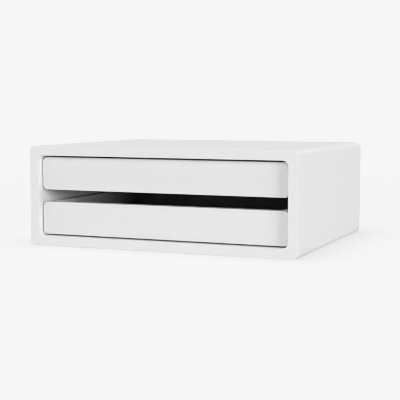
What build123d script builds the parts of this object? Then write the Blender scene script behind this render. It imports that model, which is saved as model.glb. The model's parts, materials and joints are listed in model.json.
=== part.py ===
from build123d import *
import os

os.makedirs("parts", exist_ok=True)

# A low desktop cabinet of lacquered boards with two shallow drawers for disc cases.
# Millimetres. The origin is on the standing surface, under the middle of the cabinet:
# +X to the right, +Y towards the back, +Z up. Both drawers are pushed in.

# Cabinet shell: four boards mitred together, and a back let into a rebate
cabinet_width = 354
cabinet_depth = 300
cabinet_height = 126
board_thickness = 12
cabinet_corner_radius = 6.5
arris_radius = 0.4
back_thickness = 8
rebate_width = 6
back_edge_gap = 0.2

# Loose tongues glued across the mitres
tongue_width = 10
tongue_thickness = 3
tongue_shift = 1.5
tongue_stop = 15
tongue_gap = 0.1

# Pins that hold the back in its rebate
pin_diameter = 1.5
pin_length = 20
pin_head_diameter = 3
pin_head_thickness = 0.8
pin_spacing = 110
pins_across = 3
pin_gap = 0.02

# Drawer fronts, set in from the cabinet's front edge
front_recess = 9
front_thickness = 12
front_corner_radius = 6
front_side_gap = 1.3
front_top_gap = 2.3
front_bottom_gap = 1.8
finger_gap = 15.5

# Drawer boxes
side_thickness = 12
side_set_in = 0.5
side_arris_radius = 1
drawer_back_gap = 7
bottom_thickness = 4
bottom_lift = 4
bottom_groove_depth = 6
bottom_groove_gap = 0.2
bottom_edge_gap = 0.5

# Dowels that join the drawer boards
dowel_diameter = 5
dowel_length = 20
dowel_depth_in_face = 8
dowel_chamfer = 0.6
dowel_gap = 0.05
dowel_end_gap = 0.5

# Runner strips on the cabinet sides, and the grooves that ride on them
runner_height = 10
runner_thickness = 7.5
runner_lift = 16
runner_chamfer = 0.5
runner_nose_length = 8
runner_nose_taper = 1
runner_back_gap = 3
riding_gap = 0.1
lifting_gap = 0.3
groove_end_gap = 0.5

# Pads on the runner noses that the closed fronts meet
pad_thickness = 1.5
pad_width = 4
pad_height = 7
pad_corner_radius = 1.5
pad_gap = 0.2

# Countersunk screws
screw_diameter = 3
screw_head_diameter = 6
screw_head_angle = 90
screw_length = 16
screw_point_length = 2
screw_gap = 0.05
screws_per_runner = 3
runner_screw_margin = 25
bottom_screws = 3
bottom_screw_spacing = 110

# Worked out from the sizes above
opening_width = cabinet_width - 2 * board_thickness
opening_height = cabinet_height - 2 * board_thickness
opening_corner_radius = front_corner_radius + front_side_gap
rebate_corner_radius = opening_corner_radius + rebate_width
cabinet_front = -cabinet_depth / 2
cabinet_back = cabinet_depth / 2
back_face = cabinet_back - back_thickness

front_width = opening_width - 2 * front_side_gap
front_height = (opening_height - front_top_gap - front_bottom_gap - finger_gap) / 2
front_face = cabinet_front + front_recess
front_back = front_face + front_thickness
lower_level = board_thickness + front_bottom_gap
upper_level = lower_level + front_height + finger_gap
drawer_levels = {"lower": lower_level, "upper": upper_level}

box_half_width = front_width / 2 - side_set_in
tray_half_width = box_half_width - side_thickness
side_middle = box_half_width - side_thickness / 2
side_foot_radius = opening_corner_radius - front_side_gap - side_set_in
box_back = back_face - drawer_back_gap
box_back_middle = box_back - side_thickness / 2
bottom_top = bottom_lift + bottom_thickness
groove_top = bottom_top + bottom_groove_gap

runner_face = opening_width / 2 - runner_thickness
groove_floor = runner_face - groove_end_gap
groove_low = runner_lift - lifting_gap
groove_high = runner_lift + runner_height + riding_gap
runner_middle = runner_lift + runner_height / 2
runner_nose = front_back + pad_gap + pad_thickness
runner_end = back_face - runner_back_gap

dowel_low = (groove_top + groove_low) / 2
dowel_high = (groove_high + front_height) / 2
dowel_heights = (dowel_low, dowel_high)
dowel_depth_in_end = dowel_length - dowel_depth_in_face + dowel_end_gap

# The cabinet's front and back faces, with the sketch origin at mid height
cabinet_middle = cabinet_height / 2
front_plane = Plane(origin=(0, cabinet_front, cabinet_middle), x_dir=(1, 0, 0), z_dir=(0, -1, 0))
back_plane = Plane(origin=(0, cabinet_back, cabinet_middle), x_dir=(1, 0, 0), z_dir=(0, 1, 0))
tongue_plane = front_plane.offset(-tongue_stop)


def save(part, node):
    """Name a finished piece and write it."""
    part.label = node
    export_step(part, f"parts/{node}.step")


# Mitred shell -------------------------------------------------------------------------


def shell_ring():
    """All four boards as one frame, with round corners, soft arrises and the back rebate."""
    with BuildPart() as ring:
        with BuildSketch(front_plane):
            RectangleRounded(cabinet_width, cabinet_height, cabinet_corner_radius)
            RectangleRounded(opening_width, opening_height, opening_corner_radius, mode=Mode.SUBTRACT)
        extrude(amount=-cabinet_depth)
        fillet(ring.edges().group_by(Axis.Y)[0], radius=arris_radius)
        fillet(ring.edges().group_by(Axis.Y)[-1], radius=arris_radius)
        with BuildSketch(back_plane):
            RectangleRounded(
                opening_width + 2 * rebate_width,
                opening_height + 2 * rebate_width,
                rebate_corner_radius,
            )
        extrude(amount=-back_thickness, mode=Mode.SUBTRACT)
    return ring.part


def tongue_profiles(gap):
    """Lay the four tongues' sections square across the mitres, in the sketch that calls it."""
    inset = board_thickness / 2 + tongue_shift
    for side in (-1, 1):
        for level in (-1, 1):
            x = side * (cabinet_width / 2 - inset)
            z = level * (cabinet_height / 2 - inset)
            with Locations(Location((x, z), -45 * side * level)):
                Rectangle(tongue_width + 2 * gap, tongue_thickness + 2 * gap)


def mitre_wedge(side_x, side_z):
    """Corners of the wedge, between the mitres, that holds one board of the shell."""
    half_width = cabinet_width / 2
    half_height = cabinet_height / 2
    reach = board_thickness + opening_corner_radius
    if side_z:
        return [
            (-half_width, side_z * half_height),
            (half_width, side_z * half_height),
            (half_width - reach, side_z * (half_height - reach)),
            (reach - half_width, side_z * (half_height - reach)),
        ]
    return [
        (side_x * half_width, -half_height),
        (side_x * half_width, half_height),
        (side_x * (half_width - reach), half_height - reach),
        (side_x * (half_width - reach), reach - half_height),
    ]


def pin_spots():
    """Where the pins enter, as (x, z) from the middle of the back."""
    ledge_x = (opening_width + rebate_width) / 2
    ledge_z = (opening_height + rebate_width) / 2
    spots = [(side * ledge_x, 0) for side in (-1, 1)]
    first = -pin_spacing * (pins_across - 1) / 2
    for level in (-1, 1):
        spots += [(first + i * pin_spacing, level * ledge_z) for i in range(pins_across)]
    return spots


def runner_screw_spots():
    """The places of a runner's screws along Y."""
    first = runner_nose + runner_screw_margin
    span = runner_end - runner_screw_margin - first
    return [first + i * span / (screws_per_runner - 1) for i in range(screws_per_runner)]


tongue_run = cabinet_depth - back_thickness - 2 * tongue_stop
shell = shell_ring()


def shell_board(node, side_x, side_z):
    """One board of the shell, with its mitres, tongue slots and pin and screw holes."""
    with BuildPart() as board:
        add(shell)
        with BuildSketch(front_plane):
            Polygon(*mitre_wedge(side_x, side_z), align=None)
        extrude(amount=-cabinet_depth, mode=Mode.INTERSECT)
        with BuildSketch(tongue_plane.offset(tongue_gap)):
            tongue_profiles(tongue_gap)
        extrude(amount=-tongue_run - 2 * tongue_gap, mode=Mode.SUBTRACT)
        with BuildSketch(back_plane.offset(-back_thickness)):
            with Locations(*pin_spots()):
                Circle(pin_diameter / 2 + pin_gap)
        extrude(amount=-(pin_length - back_thickness + pin_gap), mode=Mode.SUBTRACT)
        if side_x:
            wall = side_x * opening_width / 2
            for level in drawer_levels.values():
                for y in runner_screw_spots():
                    mouth = Plane(origin=(wall, y, level + runner_middle), z_dir=(-side_x, 0, 0))
                    with Locations(mouth):
                        Hole(screw_diameter / 2 + screw_gap, screw_length - runner_thickness + screw_gap)
    save(board.part, node)


shell_board("top_panel", 0, 1)
shell_board("bottom_panel", 0, -1)
shell_board("left_side_panel", -1, 0)
shell_board("right_side_panel", 1, 0)

with BuildPart() as mitre_tongues:
    with BuildSketch(tongue_plane):
        tongue_profiles(0)
    extrude(amount=-tongue_run)
save(mitre_tongues.part, "mitre_tongues")

# Back ---------------------------------------------------------------------------------

with BuildPart() as back_panel:
    with BuildSketch(back_plane):
        RectangleRounded(
            opening_width + 2 * (rebate_width - back_edge_gap),
            opening_height + 2 * (rebate_width - back_edge_gap),
            rebate_corner_radius - back_edge_gap,
        )
    extrude(amount=-back_thickness)
    with BuildSketch(back_plane):
        with Locations(*pin_spots()):
            Circle(pin_diameter / 2 + pin_gap)
    extrude(amount=-back_thickness, mode=Mode.SUBTRACT)
    with BuildSketch(back_plane):
        with Locations(*pin_spots()):
            Circle(pin_head_diameter / 2 + pin_gap)
    extrude(amount=-pin_head_thickness, mode=Mode.SUBTRACT)
save(back_panel.part, "back_panel")

with BuildPart() as back_panel_pins:
    with BuildSketch(back_plane):
        with Locations(*pin_spots()):
            Circle(pin_head_diameter / 2)
    extrude(amount=-pin_head_thickness)
    with BuildSketch(back_plane):
        with Locations(*pin_spots()):
            Circle(pin_diameter / 2)
    extrude(amount=-pin_length)
save(back_panel_pins.part, "back_panel_pins")

# Runners ------------------------------------------------------------------------------


def screw(length):
    """A countersunk screw, head up, with the top of its head at the origin."""
    shank = screw_diameter / 2
    head = screw_head_diameter / 2
    with BuildPart() as body:
        with BuildSketch(Plane.XZ):
            with BuildLine():
                Polyline(
                    (0, 0),
                    (head, 0),
                    (shank, shank - head),
                    (shank, screw_point_length - length),
                    (0, -length),
                    close=True,
                )
            make_face()
        revolve(axis=Axis.Z)
    return body.part


def runner(node, side, level):
    """A strip with a tapered, rounded nose and screw holes sunk in its riding face."""
    wall = side * opening_width / 2
    tip = side * (runner_face + runner_nose_taper)
    with BuildPart() as strip:
        with BuildSketch(Plane.XY.offset(level + runner_lift)):
            Polygon(
                (wall, runner_nose),
                (tip, runner_nose),
                (side * runner_face, runner_nose + runner_nose_length),
                (side * runner_face, runner_end),
                (wall, runner_end),
                align=None,
            )
        extrude(amount=runner_height)
        long_edges = strip.edges().filter_by(Axis.Y)
        if side > 0:
            riding_edges = long_edges.group_by(Axis.X)[0]
        else:
            riding_edges = long_edges.group_by(Axis.X)[-1]
        chamfer(riding_edges, length=runner_chamfer)
        for y in runner_screw_spots():
            mouth = Plane(origin=(side * runner_face, y, level + runner_middle), z_dir=(-side, 0, 0))
            with Locations(mouth):
                CounterSinkHole(
                    radius=screw_diameter / 2 + screw_gap,
                    counter_sink_radius=screw_head_diameter / 2 + screw_gap,
                    depth=runner_thickness,
                    counter_sink_angle=screw_head_angle,
                )
    save(strip.part, node)


for name, level in drawer_levels.items():
    runner(f"{name}_left_runner", -1, level)
    runner(f"{name}_right_runner", 1, level)

wood_screw = screw(screw_length)
with BuildPart() as runner_screws:
    for level in drawer_levels.values():
        for side in (-1, 1):
            for y in runner_screw_spots():
                seat = Plane(origin=(side * runner_face, y, level + runner_middle), z_dir=(-side, 0, 0))
                with Locations(seat):
                    add(wood_screw)
save(runner_screws.part, "runner_screws")

pad_middle = (runner_face + runner_nose_taper + box_half_width) / 2
with BuildPart() as runner_pads:
    for level in drawer_levels.values():
        with BuildSketch(Plane.XZ.offset(-runner_nose)):
            with Locations(*[(side * pad_middle, level + runner_middle) for side in (-1, 1)]):
                RectangleRounded(pad_width, pad_height, pad_corner_radius)
        extrude(amount=pad_thickness)
save(runner_pads.part, "runner_pads")

# Drawers ------------------------------------------------------------------------------


def drawer_front(name, level):
    """A round-cornered front with soft arrises, grooved and bored behind for the box."""
    middle = level + front_height / 2
    face = Plane(origin=(0, front_face, middle), x_dir=(1, 0, 0), z_dir=(0, -1, 0))
    with BuildPart() as front:
        with BuildSketch(face):
            RectangleRounded(front_width, front_height, front_corner_radius)
        extrude(amount=-front_thickness)
        fillet(front.edges().group_by(Axis.Y)[0], radius=arris_radius)
        fillet(front.edges().group_by(Axis.Y)[-1], radius=arris_radius)
        with BuildSketch(Plane.XY.offset(level + bottom_lift)):
            with Locations((0, front_back)):
                Rectangle(
                    2 * (tray_half_width + bottom_groove_depth),
                    bottom_groove_depth,
                    align=(Align.CENTER, Align.MAX),
                )
        extrude(amount=groove_top - bottom_lift, mode=Mode.SUBTRACT)
        for side in (-1, 1):
            for height in dowel_heights:
                mouth = Plane(origin=(side * side_middle, front_back, level + height), z_dir=(0, 1, 0))
                with Locations(mouth):
                    Hole(dowel_diameter / 2 + dowel_gap, dowel_depth_in_face + dowel_end_gap)
    save(front.part, f"{name}_drawer_front")


def drawer_side(name, side, level):
    """A side board grooved outside for its runner and inside for the bottom."""
    outer = side * box_half_width
    inner = side * tray_half_width
    outward = Axis((0, 0, 0), (side, 0, 0))
    with BuildPart() as board:
        with BuildSketch(Plane.XY.offset(level)):
            with Locations((side * side_middle, front_back)):
                Rectangle(side_thickness, box_back - front_back, align=(Align.CENTER, Align.MIN))
        extrude(amount=front_height)
        foot_edge = board.edges().filter_by(Axis.Y).group_by(Axis.Z)[0].sort_by(outward)[-1]
        fillet(foot_edge, radius=side_foot_radius)
        long_edges = board.edges().filter_by(Axis.Y)
        inner_low_edge = long_edges.group_by(Axis.Z)[0].sort_by(outward)[0]
        fillet([*long_edges.group_by(Axis.Z)[-1], inner_low_edge], radius=side_arris_radius)
        with BuildSketch(Plane.XZ.offset(-front_back)):
            Polygon(
                (outer, level + groove_low),
                (outer, level + groove_high),
                (side * groove_floor, level + groove_high),
                (side * groove_floor, level + groove_low),
                align=None,
            )
            Polygon(
                (inner, level + bottom_lift),
                (inner, level + groove_top),
                (inner + side * bottom_groove_depth, level + groove_top),
                (inner + side * bottom_groove_depth, level + bottom_lift),
                align=None,
            )
        extrude(amount=-(box_back - front_back), mode=Mode.SUBTRACT)
        for height in dowel_heights:
            end_mouth = Plane(origin=(side * side_middle, front_back, level + height), z_dir=(0, -1, 0))
            with Locations(end_mouth):
                Hole(dowel_diameter / 2 + dowel_gap, dowel_depth_in_end)
            face_mouth = Plane(origin=(inner, box_back_middle, level + height), z_dir=(-side, 0, 0))
            with Locations(face_mouth):
                Hole(dowel_diameter / 2 + dowel_gap, dowel_depth_in_face + dowel_end_gap)
    save(board.part, f"{name}_drawer_{'left' if side < 0 else 'right'}_side")


def bottom_screw_spots():
    """The places of the bottom's screws along X."""
    first = -bottom_screw_spacing * (bottom_screws - 1) / 2
    return [first + i * bottom_screw_spacing for i in range(bottom_screws)]


def drawer_back(name, level):
    """The back board, between the sides and on top of the bottom panel."""
    with BuildPart() as board:
        with BuildSketch(Plane.XY.offset(level + bottom_top)):
            with Locations((0, box_back_middle)):
                Rectangle(2 * tray_half_width, side_thickness)
        extrude(amount=front_height - bottom_top)
        top_edges = board.edges().filter_by(Axis.X).group_by(Axis.Z)[-1]
        fillet(top_edges, radius=side_arris_radius)
        for side in (-1, 1):
            for height in dowel_heights:
                mouth = Plane(
                    origin=(side * tray_half_width, box_back_middle, level + height),
                    z_dir=(side, 0, 0),
                )
                with Locations(mouth):
                    Hole(dowel_diameter / 2 + dowel_gap, dowel_depth_in_end)
        for x in bottom_screw_spots():
            mouth = Plane(origin=(x, box_back_middle, level + bottom_top), z_dir=(0, 0, -1))
            with Locations(mouth):
                Hole(screw_diameter / 2 + screw_gap, screw_length - bottom_thickness + screw_gap)
    save(board.part, f"{name}_drawer_back")


def drawer_bottom(name, level):
    """The bottom panel, slid in from behind and screwed up into the back board."""
    groove_front = front_back - bottom_groove_depth
    with BuildPart() as panel:
        with BuildSketch(Plane.XY.offset(level + bottom_lift)):
            with Locations((0, groove_front + bottom_edge_gap)):
                Rectangle(
                    2 * (tray_half_width + bottom_groove_depth - bottom_edge_gap),
                    box_back - groove_front - bottom_edge_gap,
                    align=(Align.CENTER, Align.MIN),
                )
        extrude(amount=bottom_thickness)
        for x in bottom_screw_spots():
            mouth = Plane(origin=(x, box_back_middle, level + bottom_lift), z_dir=(0, 0, -1))
            with Locations(mouth):
                CounterSinkHole(
                    radius=screw_diameter / 2 + screw_gap,
                    counter_sink_radius=screw_head_diameter / 2 + screw_gap,
                    depth=bottom_thickness,
                    counter_sink_angle=screw_head_angle,
                )
    save(panel.part, f"{name}_drawer_bottom")


def dowel():
    """A chamfered dowel along +Z whose face-side end is at the origin."""
    with BuildPart() as peg:
        with BuildSketch():
            Circle(dowel_diameter / 2)
        extrude(amount=dowel_length)
        chamfer(peg.edges().filter_by(GeomType.CIRCLE), length=dowel_chamfer)
    return peg.part


peg = dowel()


def drawer_dowels(name, level):
    """Four dowels from the front into the sides, and four from the sides into the back."""
    with BuildPart() as dowels:
        for side in (-1, 1):
            for height in dowel_heights:
                front_seat = (side * side_middle, front_back - dowel_depth_in_face, level + height)
                with Locations(Plane(origin=front_seat, z_dir=(0, 1, 0))):
                    add(peg)
                side_seat = (
                    side * (tray_half_width + dowel_depth_in_face),
                    box_back_middle,
                    level + height,
                )
                with Locations(Plane(origin=side_seat, z_dir=(-side, 0, 0))):
                    add(peg)
    save(dowels.part, f"{name}_drawer_dowels")


def drawer_bottom_screws(name, level):
    """The screws through the bottom panel into the back board."""
    with BuildPart() as screws:
        for x in bottom_screw_spots():
            seat = Plane(origin=(x, box_back_middle, level + bottom_lift), z_dir=(0, 0, -1))
            with Locations(seat):
                add(wood_screw)
    save(screws.part, f"{name}_drawer_bottom_screws")


for name, level in drawer_levels.items():
    drawer_front(name, level)
    drawer_side(name, -1, level)
    drawer_side(name, 1, level)
    drawer_back(name, level)
    drawer_bottom(name, level)
    drawer_dowels(name, level)
    drawer_bottom_screws(name, level)
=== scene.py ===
import json
import math

import bmesh
import bpy
from mathutils import Matrix, Vector


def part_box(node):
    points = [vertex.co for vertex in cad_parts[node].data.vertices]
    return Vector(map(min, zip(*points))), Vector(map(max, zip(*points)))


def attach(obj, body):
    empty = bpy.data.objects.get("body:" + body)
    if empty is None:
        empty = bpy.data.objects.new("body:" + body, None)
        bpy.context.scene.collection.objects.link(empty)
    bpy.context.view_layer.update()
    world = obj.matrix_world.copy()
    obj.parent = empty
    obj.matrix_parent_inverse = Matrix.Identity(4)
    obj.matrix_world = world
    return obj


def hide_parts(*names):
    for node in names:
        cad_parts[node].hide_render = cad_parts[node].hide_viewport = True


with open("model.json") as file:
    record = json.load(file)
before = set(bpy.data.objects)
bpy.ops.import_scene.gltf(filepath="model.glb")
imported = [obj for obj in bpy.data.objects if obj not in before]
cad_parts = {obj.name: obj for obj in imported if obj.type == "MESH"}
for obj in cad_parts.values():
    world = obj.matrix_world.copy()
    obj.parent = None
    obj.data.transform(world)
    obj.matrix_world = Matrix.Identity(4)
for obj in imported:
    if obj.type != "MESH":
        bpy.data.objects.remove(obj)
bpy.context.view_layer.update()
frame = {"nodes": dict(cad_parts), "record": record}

nodes = frame["nodes"]
record = frame["record"]
slot_of = {part["node"]: part["material_slot"] for part in record["subparts"]}
body_of = {node: body for body, held in record["behaviour"]["bodies"].items() for node in held}

# Camera, solved from the straight edges of the photograph -----------------------------

PHOTO_WIDTH_PX = 400
PHOTO_BLUR_PX = 1.0
FOCAL_LENGTH_PX = 1025.4
SENSOR_WIDTH_MM = 36.0
NEAREST_SEEN = 0.01
FARTHEST_SEEN = 50.0
CAMERA_PLACE = Vector((0.5165, -1.2709, 0.1749))
CAMERA_YAW = math.radians(22.33)
CAMERA_DIP = math.radians(5.17)
CAMERA_ROLL = math.radians(0.057)


def place_camera():
    """Stand the camera to the right of the cabinet, a little above its top."""
    data = bpy.data.cameras.new("camera")
    data.sensor_width = SENSOR_WIDTH_MM
    data.lens = FOCAL_LENGTH_PX * SENSOR_WIDTH_MM / PHOTO_WIDTH_PX
    data.clip_start = NEAREST_SEEN
    data.clip_end = FARTHEST_SEEN
    camera = bpy.data.objects.new("camera", data)
    turn = Matrix.Rotation(CAMERA_YAW, 4, "Z")
    tilt = Matrix.Rotation(math.radians(90) - CAMERA_DIP, 4, "X")
    roll = Matrix.Rotation(CAMERA_ROLL, 4, "Z")
    camera.matrix_world = Matrix.Translation(CAMERA_PLACE) @ turn @ tilt @ roll
    bpy.context.scene.collection.objects.link(camera)
    bpy.context.scene.camera = camera


# Finishes -----------------------------------------------------------------------------

MICRON = 0.000001


def grey(level):
    """A colour without a hue."""
    return (level, level, level)


class Finish:
    """A node material: its shader, its object coordinates, and short ways to add nodes."""

    def __init__(self, name, colour, roughness):
        self.material = bpy.data.materials.new(name)
        self.material.use_nodes = True
        self.tree = self.material.node_tree
        self.tree.nodes.clear()
        self.shader = self.add("ShaderNodeBsdfPrincipled")
        self.output = self.add("ShaderNodeOutputMaterial")
        self.join(self.shader.outputs["BSDF"], self.output.inputs["Surface"])
        self.shader.inputs["Base Color"].default_value = (*colour, 1)
        self.shader.inputs["Roughness"].default_value = roughness
        self.place = self.add("ShaderNodeTexCoord").outputs["Object"]

    def add(self, kind):
        return self.tree.nodes.new(kind)

    def join(self, source, target):
        self.tree.links.new(source, target)

    def stretched(self, scale):
        """The object coordinates pressed together or drawn out along the axes."""
        mapping = self.add("ShaderNodeMapping")
        mapping.inputs["Scale"].default_value = scale
        self.join(self.place, mapping.inputs["Vector"])
        return mapping.outputs["Vector"]

    def noise(self, per_metre, detail=2.0, place=None, warp=0.0):
        """A smooth random cloud with so many features to the metre."""
        noise = self.add("ShaderNodeTexNoise")
        noise.inputs["Scale"].default_value = per_metre
        noise.inputs["Detail"].default_value = detail
        noise.inputs["Distortion"].default_value = warp
        self.join(place or self.place, noise.inputs["Vector"])
        return noise.outputs["Fac"]

    def spread(self, source, low, high, from_low=0.3, from_high=0.7):
        """A pattern's values spread from low to high."""
        spread = self.add("ShaderNodeMapRange")
        spread.inputs["From Min"].default_value = from_low
        spread.inputs["From Max"].default_value = from_high
        spread.inputs["To Min"].default_value = low
        spread.inputs["To Max"].default_value = high
        self.join(source, spread.inputs["Value"])
        return spread.outputs["Result"]

    def colour(self, source, *stops):
        """Colour the surface by a pattern, with stops of (value, colour)."""
        ramp = self.add("ShaderNodeValToRGB")
        elements = ramp.color_ramp.elements
        for element, (value, shade) in zip(elements, (stops[0], stops[-1])):
            element.position = value
            element.color = (*shade, 1)
        for value, shade in stops[1:-1]:
            elements.new(value).color = (*shade, 1)
        self.join(source, ramp.inputs["Fac"])
        self.join(ramp.outputs["Color"], self.shader.inputs["Base Color"])

    def gloss(self, source, smooth, rough):
        """Vary the roughness by a pattern."""
        self.join(self.spread(source, smooth, rough), self.shader.inputs["Roughness"])

    def relief(self, *layers):
        """Bumps as (pattern, depth in metres), the coarsest first."""
        under = None
        for height, depth in layers:
            bump = self.add("ShaderNodeBump")
            bump.inputs["Distance"].default_value = depth
            self.join(height, bump.inputs["Height"])
            if under:
                self.join(under, bump.inputs["Normal"])
            under = bump.outputs["Normal"]
        self.join(under, self.shader.inputs["Normal"])


LACQUER_WHITE = 0.765
LACQUER_DRIFT = 0.004
THIN_COAT_LOSS = 0.012


def sprayed_lacquer():
    """Satin white lacquer on the shell and fronts: orange peel over a sanded flat board."""
    finish = Finish("sprayed_white_lacquer", grey(LACQUER_WHITE), 0.56)
    tone = finish.noise(per_metre=9, detail=3)
    finish.colour(
        tone,
        (0.3, grey(LACQUER_WHITE - LACQUER_DRIFT)),
        (0.7, grey(LACQUER_WHITE + LACQUER_DRIFT)),
    )
    finish.gloss(finish.noise(per_metre=70, detail=4), smooth=0.52, rough=0.60)
    sanding = finish.noise(per_metre=40, detail=1)
    peel = finish.noise(per_metre=600, detail=2)
    grit = finish.noise(per_metre=2600, detail=1)
    finish.relief((sanding, 30 * MICRON), (peel, 8 * MICRON), (grit, 2 * MICRON))
    return finish.material


def rolled_lacquer():
    """A thinner white coat on the drawer boxes, rolled on, with a fine stipple."""
    finish = Finish("rolled_white_lacquer", grey(LACQUER_WHITE), 0.55)
    tone = finish.noise(per_metre=14, detail=4)
    finish.colour(
        tone,
        (0.3, grey(LACQUER_WHITE - THIN_COAT_LOSS)),
        (0.7, grey(LACQUER_WHITE + LACQUER_DRIFT)),
    )
    finish.gloss(finish.noise(per_metre=120, detail=3), smooth=0.50, rough=0.62)
    stipple = finish.noise(per_metre=900, detail=3)
    fibres = finish.noise(per_metre=300, detail=2, place=finish.stretched((1, 0.25, 1)))
    finish.relief((fibres, 10 * MICRON), (stipple, 10 * MICRON))
    return finish.material


# Near-black painted shade: the dark of these boards keeps the deep inside of the drawers dark; the
# hollow and fibre values are its grain.
HARDBOARD_PAINTED_SHADE_BLACK = 0.016
HARDBOARD_HOLLOW = 0.0112
HARDBOARD_FIBRE = 0.0352


def dyed_hardboard():
    """Smooth hardboard coloured near-black as painted shade for the deep drawer insides: pressed
    fibres and a dull polish.
    """
    finish = Finish("dyed_hardboard", grey(HARDBOARD_PAINTED_SHADE_BLACK), 0.6)
    fibres = finish.noise(per_metre=700, detail=5, place=finish.stretched((1, 0.5, 1)), warp=0.6)
    finish.colour(
        fibres,
        (0.25, grey(HARDBOARD_HOLLOW)),
        (0.6, grey(HARDBOARD_PAINTED_SHADE_BLACK)),
        (0.75, grey(HARDBOARD_FIBRE)),
    )
    finish.gloss(finish.noise(per_metre=60, detail=4), smooth=0.50, rough=0.68)
    swell = finish.noise(per_metre=25, detail=2)
    finish.relief((swell, 60 * MICRON), (fibres, 20 * MICRON))
    return finish.material


BEECH_FLECK = (0.33, 0.18, 0.09)
BEECH_DARK = (0.40, 0.235, 0.12)
BEECH_PALE = (0.62, 0.43, 0.26)
GRAIN_DRAWN_OUT = 0.06


def planed_beech():
    """Bare beech with its grain drawn out from front to back, and short dark ray flecks."""
    finish = Finish("planed_beech", BEECH_PALE, 0.62)
    grain_place = finish.stretched((1, GRAIN_DRAWN_OUT, 1))
    figure = finish.noise(per_metre=260, detail=4, place=grain_place, warp=0.4)
    finish.colour(figure, (0.3, BEECH_FLECK), (0.42, BEECH_DARK), (0.65, BEECH_PALE))
    finish.gloss(finish.noise(per_metre=500, detail=2, place=grain_place), smooth=0.52, rough=0.72)
    pores = finish.noise(per_metre=1800, detail=3, place=grain_place)
    finish.relief((figure, 40 * MICRON), (pores, 30 * MICRON))
    return finish.material


NYLON_FLOW_MARK = (0.66, 0.66, 0.645)
NYLON_WHITE = (0.72, 0.72, 0.71)


def moulded_nylon():
    """Matt white nylon with the even grain of a spark-cut mould, and faint flow marks."""
    finish = Finish("moulded_nylon", grey(0.70), 0.5)
    flow = finish.noise(per_metre=45, detail=3, place=finish.stretched((1, 0.3, 1)), warp=0.8)
    finish.colour(flow, (0.3, NYLON_FLOW_MARK), (0.7, NYLON_WHITE))
    finish.gloss(finish.noise(per_metre=200, detail=2), smooth=0.42, rough=0.56)
    finish.relief((finish.noise(per_metre=1600, detail=2), 20 * MICRON))
    return finish.material


SILICONE_GREY = 0.46
SILICONE_DUSTY = 0.56


def cast_silicone():
    """Pale matt silicone with a powdery skin."""
    finish = Finish("cast_silicone", grey(0.52), 0.65)
    dust = finish.noise(per_metre=1200, detail=4)
    finish.colour(dust, (0.35, grey(SILICONE_GREY)), (0.7, grey(SILICONE_DUSTY)))
    finish.gloss(dust, smooth=0.55, rough=0.78)
    finish.relief((finish.noise(per_metre=2200, detail=2), 10 * MICRON))
    return finish.material


STEEL_DULL = (0.47, 0.465, 0.455)
STEEL_BRIGHT = (0.60, 0.595, 0.585)


def drawn_steel():
    """Bright wire: fine lines along the pins, and a little dulled."""
    finish = Finish("drawn_steel", (0.56, 0.555, 0.545), 0.3)
    finish.shader.inputs["Metallic"].default_value = 1.0
    lines = finish.noise(per_metre=6000, detail=2, place=finish.stretched((1, 0.02, 1)))
    dulled = finish.noise(per_metre=900, detail=3)
    finish.colour(dulled, (0.3, STEEL_DULL), (0.7, STEEL_BRIGHT))
    finish.gloss(dulled, smooth=0.24, rough=0.42)
    finish.relief((lines, 4 * MICRON))
    return finish.material


ZINC_BLUISH = (0.50, 0.53, 0.58)
ZINC_BRIGHT = (0.60, 0.61, 0.63)
ZINC_WARM = (0.66, 0.64, 0.60)


def zinc_plate():
    """Bright zinc on the screws, with cloudy bluish patches and a fine pickled grain."""
    finish = Finish("zinc_plate", (0.58, 0.60, 0.63), 0.3)
    finish.shader.inputs["Metallic"].default_value = 1.0
    clouds = finish.noise(per_metre=700, detail=4, warp=0.5)
    finish.colour(clouds, (0.3, ZINC_BLUISH), (0.55, ZINC_BRIGHT), (0.75, ZINC_WARM))
    finish.gloss(finish.noise(per_metre=1500, detail=3), smooth=0.22, rough=0.40)
    finish.relief((finish.noise(per_metre=5000, detail=2), 4 * MICRON))
    return finish.material


def paint(name, material):
    """Give a CAD node its finish."""
    mesh = nodes[name].data
    mesh.materials.clear()
    mesh.materials.append(material)


# Small pieces, made in place of the plain CAD ones ------------------------------------

MERGE_GAP = 0.000001
SHARP_EDGE = math.radians(35)

SCREW_LENGTH = 0.016
SCREW_POINT_LENGTH = 0.002
SCREW_HEAD_RADIUS = 0.003
SCREW_THREAD_RADIUS = 0.0015
SCREW_CORE_RADIUS = 0.00105
SCREW_SIDES = 24
THREAD_PITCH = 0.00125
THREAD_TURNS = 9
THREAD_ROOT_OF_CORE = 0.9
THREAD_CREST_OF_PITCH = 0.3
THREAD_FOOT_OF_PITCH = 0.6
RECESS_REACH = 0.0018
RECESS_ARM = 0.75
RECESS_DEPTH = 0.0017
RECESS_TAPER = 0.35

PIN_LENGTH = 0.020
PIN_POINT_LENGTH = 0.0015
PIN_RADIUS = 0.00075
PIN_HEAD_RADIUS = 0.0015
PIN_HEAD_THICKNESS = 0.0008
PIN_HEAD_BEVEL = 0.00015
PIN_DIMPLE_DEPTH = 0.00025
PIN_DIMPLE_FLOOR_RADIUS = 0.000525
PIN_DIMPLE_RADIUS = 0.00075
PIN_SPACING = 0.110
PIN_SIDES = 24

DOWEL_LENGTH = 0.020
DOWEL_RADIUS = 0.0025
DOWEL_CHAMFER = 0.0006
DOWEL_SIDES = 36
SIDES_BETWEEN_FLUTES = 3
FLUTE_OF_RADIUS = 0.93
DOWEL_DEPTH_IN_SIDE = 0.008


def only(kind, geometry):
    """The vertices, edges or faces of a bmesh operator's result."""
    return [item for item in geometry if isinstance(item, kind)]


def drawn_down(form, ring, drop, width):
    """Extrude a ring of edges downwards, made wider or narrower, and give the new ring."""
    grown = bmesh.ops.extrude_edge_only(form, edges=ring)["geom"]
    corners = only(bmesh.types.BMVert, grown)
    bmesh.ops.scale(form, vec=(width, width, 1), verts=corners)
    bmesh.ops.translate(form, vec=(0, 0, -drop), verts=corners)
    return only(bmesh.types.BMEdge, grown)


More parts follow.
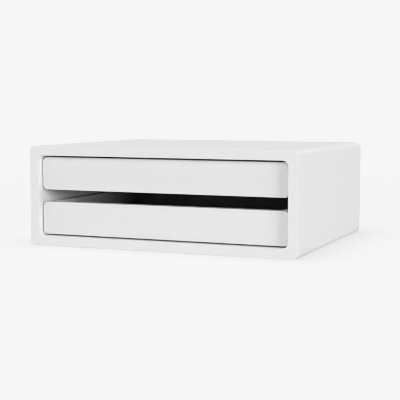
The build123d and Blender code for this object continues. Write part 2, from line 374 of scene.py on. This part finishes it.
def cut_recess(form, rim):
    """Fill a screw head's rim with a face that has a tapered cross sunk in it."""
    grid = bmesh.ops.create_grid(form, x_segments=3, y_segments=3, size=RECESS_REACH)
    for corner in grid["verts"]:
        if abs(corner.co.x) < RECESS_REACH / 2:
            corner.co.x *= RECESS_ARM
        if abs(corner.co.y) < RECESS_REACH / 2:
            corner.co.y *= RECESS_ARM
    cells = {face for corner in grid["verts"] for face in corner.link_faces}
    middles = {cell: cell.calc_center_median() for cell in cells}
    corner_cells = [
        cell for cell, middle in middles.items() if min(abs(middle.x), abs(middle.y)) > MERGE_GAP
    ]
    cross = [cell for cell in cells if cell not in corner_cells]
    bmesh.ops.delete(form, geom=corner_cells, context="FACES")
    outline = [edge for cell in cross for edge in cell.edges if edge.is_boundary]
    bmesh.ops.bridge_loops(form, edges=rim + outline)
    floor = bmesh.ops.extrude_face_region(form, geom=cross)["geom"]
    bmesh.ops.delete(form, geom=[cell for cell in cross if cell.is_valid], context="FACES")
    sunk = only(bmesh.types.BMVert, floor)
    bmesh.ops.scale(form, vec=(RECESS_TAPER, RECESS_TAPER, 1), verts=sunk)
    bmesh.ops.translate(form, vec=(0, 0, -RECESS_DEPTH), verts=sunk)


def wind_thread(form):
    """A right-hand ridge wound down a screw's core."""
    top = SCREW_THREAD_RADIUS - SCREW_HEAD_RADIUS - THREAD_PITCH / 2
    root = SCREW_CORE_RADIUS * THREAD_ROOT_OF_CORE
    section = [
        form.verts.new((root, 0, top)),
        form.verts.new((SCREW_THREAD_RADIUS, 0, top - THREAD_PITCH * THREAD_CREST_OF_PITCH)),
        form.verts.new((root, 0, top - THREAD_PITCH * THREAD_FOOT_OF_PITCH)),
    ]
    bmesh.ops.spin(
        form,
        geom=[form.faces.new(section)],
        cent=(0, 0, 0),
        axis=(0, 0, 1),
        dvec=(0, 0, -THREAD_PITCH / SCREW_SIDES),
        angle=-2 * math.pi * THREAD_TURNS,
        steps=THREAD_TURNS * SCREW_SIDES,
        use_merge=False,
    )


def wood_screw():
    """A countersunk cross-head screw, its head at the origin and its point down."""
    form = bmesh.new()
    bmesh.ops.create_circle(form, segments=SCREW_SIDES, radius=SCREW_HEAD_RADIUS)
    rim = list(form.edges)
    head_depth = SCREW_HEAD_RADIUS - SCREW_THREAD_RADIUS
    neck = drawn_down(form, rim, head_depth, SCREW_THREAD_RADIUS / SCREW_HEAD_RADIUS)
    core = drawn_down(form, neck, THREAD_PITCH / 2, SCREW_CORE_RADIUS / SCREW_THREAD_RADIUS)
    shank = SCREW_LENGTH - head_depth - THREAD_PITCH / 2 - SCREW_POINT_LENGTH
    shoulder = drawn_down(form, core, shank, 1)
    tip = drawn_down(form, shoulder, SCREW_POINT_LENGTH, 0)
    tip_corners = list({corner for edge in tip for corner in edge.verts})
    bmesh.ops.pointmerge(form, verts=tip_corners, merge_co=(0, 0, -SCREW_LENGTH))
    cut_recess(form, rim)
    wind_thread(form)
    return form


def panel_pin():
    """A round-headed pin with a dimple in its head, its head at the origin and its point down."""
    form = bmesh.new()
    profile = (
        (0, -PIN_DIMPLE_DEPTH),
        (PIN_DIMPLE_FLOOR_RADIUS, -PIN_DIMPLE_DEPTH),
        (PIN_DIMPLE_RADIUS, 0),
        (PIN_HEAD_RADIUS - PIN_HEAD_BEVEL, 0),
        (PIN_HEAD_RADIUS, -PIN_HEAD_BEVEL),
        (PIN_HEAD_RADIUS, -PIN_HEAD_THICKNESS),
        (PIN_RADIUS, -PIN_HEAD_THICKNESS),
        (PIN_RADIUS, PIN_POINT_LENGTH - PIN_LENGTH),
        (0, -PIN_LENGTH),
    )
    corners = [form.verts.new((radius, 0, level)) for radius, level in profile]
    line = [form.edges.new(pair) for pair in zip(corners, corners[1:])]
    bmesh.ops.spin(
        form,
        geom=corners + line,
        cent=(0, 0, 0),
        axis=(0, 0, 1),
        angle=2 * math.pi,
        steps=PIN_SIDES,
        use_merge=True,
    )
    return form


def fluted_dowel():
    """A dowel with glue flutes and chamfered ends, one end at the origin, lying down -Z."""
    form = bmesh.new()
    end_radius = DOWEL_RADIUS - DOWEL_CHAMFER
    bmesh.ops.create_circle(form, cap_ends=True, segments=DOWEL_SIDES, radius=end_radius)
    rim = list(form.edges)
    shoulder = drawn_down(form, rim, DOWEL_CHAMFER, DOWEL_RADIUS / end_radius)
    foot = drawn_down(form, shoulder, DOWEL_LENGTH - 2 * DOWEL_CHAMFER, 1)
    for ring in (shoulder, foot):
        around = sorted(
            {corner for edge in ring for corner in edge.verts},
            key=lambda corner: math.atan2(corner.co.y, corner.co.x),
        )
        flutes = around[::SIDES_BETWEEN_FLUTES]
        bmesh.ops.scale(form, vec=(FLUTE_OF_RADIUS, FLUTE_OF_RADIUS, 1), verts=flutes)
    end = drawn_down(form, foot, DOWEL_CHAMFER, end_radius / DOWEL_RADIUS)
    bmesh.ops.contextual_create(form, geom=end)
    return form


def set_in(pieces, make, mouth, inwards):
    """Add one small piece to the others, its head at the mouth and its point inwards."""
    piece = make()
    turn = Vector((0, 0, -1)).rotation_difference(Vector(inwards)).to_matrix().to_4x4()
    bmesh.ops.transform(piece, matrix=Matrix.Translation(mouth) @ turn, verts=piece.verts)
    carrier = bpy.data.meshes.new("carrier")
    piece.to_mesh(carrier)
    piece.free()
    pieces.from_mesh(carrier)
    bpy.data.meshes.remove(carrier)


def stand_for(node, pieces, material):
    """Show the pieces in place of a CAD node, on its body and in its slot."""
    bmesh.ops.remove_doubles(pieces, verts=pieces.verts, dist=MERGE_GAP)
    bmesh.ops.recalc_face_normals(pieces, faces=pieces.faces)
    for face in pieces.faces:
        face.smooth = True
    mesh = bpy.data.meshes.new(f"{node}_made")
    pieces.to_mesh(mesh)
    pieces.free()
    mesh.set_sharp_from_angle(angle=SHARP_EDGE)
    mesh.materials.append(material)
    piece = bpy.data.objects.new(f"{node}_made", mesh)
    bpy.context.scene.collection.objects.link(piece)
    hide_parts(node)
    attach(piece, body_of[node])


def make_runner_screws(material):
    """Three screws through each runner, with their heads in its riding face."""
    low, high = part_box("runner_screws")
    first, last = low[1] + SCREW_HEAD_RADIUS, high[1] - SCREW_HEAD_RADIUS
    screws = bmesh.new()
    for drawer in ("lower", "upper"):
        for side, inwards in (("left", -1), ("right", 1)):
            runner_low, runner_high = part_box(f"{drawer}_{side}_runner")
            face = runner_high[0] if inwards < 0 else runner_low[0]
            level = (runner_low[2] + runner_high[2]) / 2
            for y in (first, (first + last) / 2, last):
                set_in(screws, wood_screw, (face, y, level), (inwards, 0, 0))
    stand_for("runner_screws", screws, material)


def make_bottom_screws(drawer, material):
    """Three screws up through the bottom panel into the back board."""
    node = f"{drawer}_drawer_bottom_screws"
    low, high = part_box(node)
    first, last = low[0] + SCREW_HEAD_RADIUS, high[0] - SCREW_HEAD_RADIUS
    y = (low[1] + high[1]) / 2
    screws = bmesh.new()
    for x in (first, (first + last) / 2, last):
        set_in(screws, wood_screw, (x, y, low[2]), (0, 0, 1))
    stand_for(node, screws, material)


def make_pins(material):
    """The pins round the edge of the back panel."""
    low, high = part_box("back_panel_pins")
    left, right = low[0] + PIN_HEAD_RADIUS, high[0] - PIN_HEAD_RADIUS
    bottom, top = low[2] + PIN_HEAD_RADIUS, high[2] - PIN_HEAD_RADIUS
    spots = [(left, (bottom + top) / 2), (right, (bottom + top) / 2)]
    for level in (bottom, top):
        spots += [(-PIN_SPACING, level), (0, level), (PIN_SPACING, level)]
    pins = bmesh.new()
    for x, z in spots:
        set_in(pins, panel_pin, (x, high[1], z), (0, -1, 0))
    stand_for("back_panel_pins", pins, material)


def make_dowels(drawer, material):
    """Dowels from the front into the sides, and from the sides into the back board."""
    node = f"{drawer}_drawer_dowels"
    low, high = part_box(node)
    side_middle = high[0] - DOWEL_RADIUS
    back_middle = high[1] - DOWEL_RADIUS
    inner_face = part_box(f"{drawer}_drawer_right_side")[0][0]
    dowels = bmesh.new()
    for side in (-1, 1):
        for level in (low[2] + DOWEL_RADIUS, high[2] - DOWEL_RADIUS):
            set_in(dowels, fluted_dowel, (side * side_middle, low[1], level), (0, 1, 0))
            mouth = (side * (inner_face + DOWEL_DEPTH_IN_SIDE), back_middle, level)
            set_in(dowels, fluted_dowel, mouth, (-side, 0, 0))
    stand_for(node, dowels, material)


# Stage --------------------------------------------------------------------------------

FLOOR_SIZE = 12.0
FLOOR_WHITE = 0.8
BACKDROP_WHITE = 0.9216
SHADOW_WHITE = 0.98
SHADOW_SHARE = 0.15
SHADOW_FADES_FROM = 0.6
SHADOW_FADES_TO = 1.6
CONTACT_REACH = 0.065
CONTACT_DEPTH = 0.22


def backdrop_rays(tree):
    """1 for the rays on which the plain backdrop shows: straight ones and reflections."""
    rays = tree.nodes.new("ShaderNodeLightPath")
    seen = rays.outputs["Is Camera Ray"]
    for kind in ("Is Glossy Ray", "Is Transmission Ray"):
        either = tree.nodes.new("ShaderNodeMath")
        either.operation = "MAXIMUM"
        tree.links.new(seen, either.inputs[0])
        tree.links.new(rays.outputs[kind], either.inputs[1])
        seen = either.outputs[0]
    return seen


def floor_paper():
    """Pale paper that shows the backdrop's white, the contact shade and part of the cast shadow."""
    finish = Finish("floor_paper", grey(FLOOR_WHITE), 1.0)
    finish.shader.inputs["Specular IOR Level"].default_value = 0.0
    openness = finish.add("ShaderNodeAmbientOcclusion")
    openness.inputs["Distance"].default_value = CONTACT_REACH
    shade = finish.spread(openness.outputs["AO"], 1 - CONTACT_DEPTH, 1.0, from_low=0.0, from_high=1.0)
    glow = finish.add("ShaderNodeEmission")
    glow.inputs["Color"].default_value = (*grey(BACKDROP_WHITE), 1)
    finish.join(shade, glow.inputs["Strength"])
    shadowed = finish.add("ShaderNodeBsdfDiffuse")
    shadowed.inputs["Color"].default_value = (*grey(SHADOW_WHITE), 1)
    away = finish.add("ShaderNodeVectorMath")
    away.operation = "LENGTH"
    finish.join(finish.place, away.inputs[0])
    share = finish.spread(
        away.outputs["Value"],
        SHADOW_SHARE,
        0.0,
        from_low=SHADOW_FADES_FROM,
        from_high=SHADOW_FADES_TO,
    )
    sight = finish.add("ShaderNodeMixShader")
    finish.join(share, sight.inputs["Fac"])
    finish.join(glow.outputs["Emission"], sight.inputs[1])
    finish.join(shadowed.outputs["BSDF"], sight.inputs[2])
    paper = finish.add("ShaderNodeMixShader")
    finish.join(backdrop_rays(finish.tree), paper.inputs["Fac"])
    finish.join(finish.shader.outputs["BSDF"], paper.inputs[1])
    finish.join(sight.outputs["Shader"], paper.inputs[2])
    finish.join(paper.outputs["Shader"], finish.output.inputs["Surface"])
    return finish.material


def lay_floor():
    """A wide sheet of paper under the cabinet."""
    mesh = bpy.data.meshes.new("floor")
    form = bmesh.new()
    bmesh.ops.create_grid(form, x_segments=1, y_segments=1, size=FLOOR_SIZE / 2)
    form.to_mesh(mesh)
    form.free()
    floor = bpy.data.objects.new("floor", mesh)
    bpy.context.scene.collection.objects.link(floor)
    mesh.materials.append(floor_paper())


LIGHT_AIM = Vector((0, 0, 0.06))
LIGHT_DISTANCE = 9.0
LIGHT_CLEARANCE = 0.02
FULL_LIGHT = math.pi ** 2 * LIGHT_DISTANCE ** 2
WIDE_BOX = 4.7
MIDDLE_BOX = 3.2
SMALL_BOX = 2.5


def hang_softbox(name, azimuth, elevation, size, share):
    """A square softbox that faces the cabinet. Azimuth turns from the front to the right.

    At a share of 1 it alone would show a white board that faces it as white.
    """
    turn = math.radians(azimuth)
    rise = math.radians(elevation)
    level = math.cos(rise)
    out = Vector((math.sin(turn) * level, -math.cos(turn) * level, math.sin(rise)))
    data = bpy.data.lights.new(name, "AREA")
    data.shape = "SQUARE"
    data.size = size
    data.energy = FULL_LIGHT * share
    box = bpy.data.objects.new(name, data)
    box.location = LIGHT_AIM + out * LIGHT_DISTANCE
    box.location.z = max(box.location.z, size / 2 + LIGHT_CLEARANCE)
    box.rotation_euler = (box.location - LIGHT_AIM).to_track_quat("Z", "Y").to_euler()
    bpy.context.scene.collection.objects.link(box)


def light_room():
    """Softboxes all round, most of them in front, in a room that shows as white."""
    hang_softbox("top_box", azimuth=0, elevation=90, size=WIDE_BOX, share=0.37)
    hang_softbox("left_top_box", azimuth=-75, elevation=65, size=WIDE_BOX, share=0.22)
    hang_softbox("left_side_box", azimuth=-70, elevation=24, size=MIDDLE_BOX, share=0.14)
    hang_softbox("left_front_box", azimuth=-45, elevation=24, size=MIDDLE_BOX, share=0.125)
    hang_softbox("front_box", azimuth=15, elevation=24, size=MIDDLE_BOX, share=0.285)
    hang_softbox("low_right_front_box", azimuth=60, elevation=8, size=SMALL_BOX, share=0.42)
    hang_softbox("low_right_box", azimuth=75, elevation=8, size=SMALL_BOX, share=0.13)
    hang_softbox("right_back_box", azimuth=135, elevation=35, size=WIDE_BOX, share=0.14)
    room = bpy.data.worlds.new("room")
    bpy.context.scene.world = room
    room.use_nodes = True
    tree = room.node_tree
    background = tree.nodes["Background"]
    background.inputs["Color"].default_value = (*grey(BACKDROP_WHITE), 1)
    tree.links.new(backdrop_rays(tree), background.inputs["Strength"])


# Making -------------------------------------------------------------------------------

place_camera()
slot_finish = {
    "lacquered_board": sprayed_lacquer(),
    # The near-black of the dyed_hardboard slot is painted shade for the deep drawer insides.
    "dyed_hardboard": dyed_hardboard(),
    "bare_hardwood": planed_beech(),
    "runner_plastic": moulded_nylon(),
    "soft_pads": cast_silicone(),
    "bright_steel": drawn_steel(),
    "zinc_screws": zinc_plate(),
}
for node, slot in slot_of.items():
    paint(node, slot_finish[slot])

box_white = rolled_lacquer()
for drawer in ("lower", "upper"):
    for board in ("left_side", "right_side", "back"):
        paint(f"{drawer}_drawer_{board}", box_white)

make_runner_screws(slot_finish["zinc_screws"])
make_pins(slot_finish["bright_steel"])
for drawer in ("lower", "upper"):
    make_bottom_screws(drawer, slot_finish["zinc_screws"])
    make_dowels(drawer, slot_finish["bare_hardwood"])

lay_floor()
light_room()
bpy.context.scene.view_settings.view_transform = "Standard"
bpy.context.scene.cycles.filter_width = PHOTO_BLUR_PX
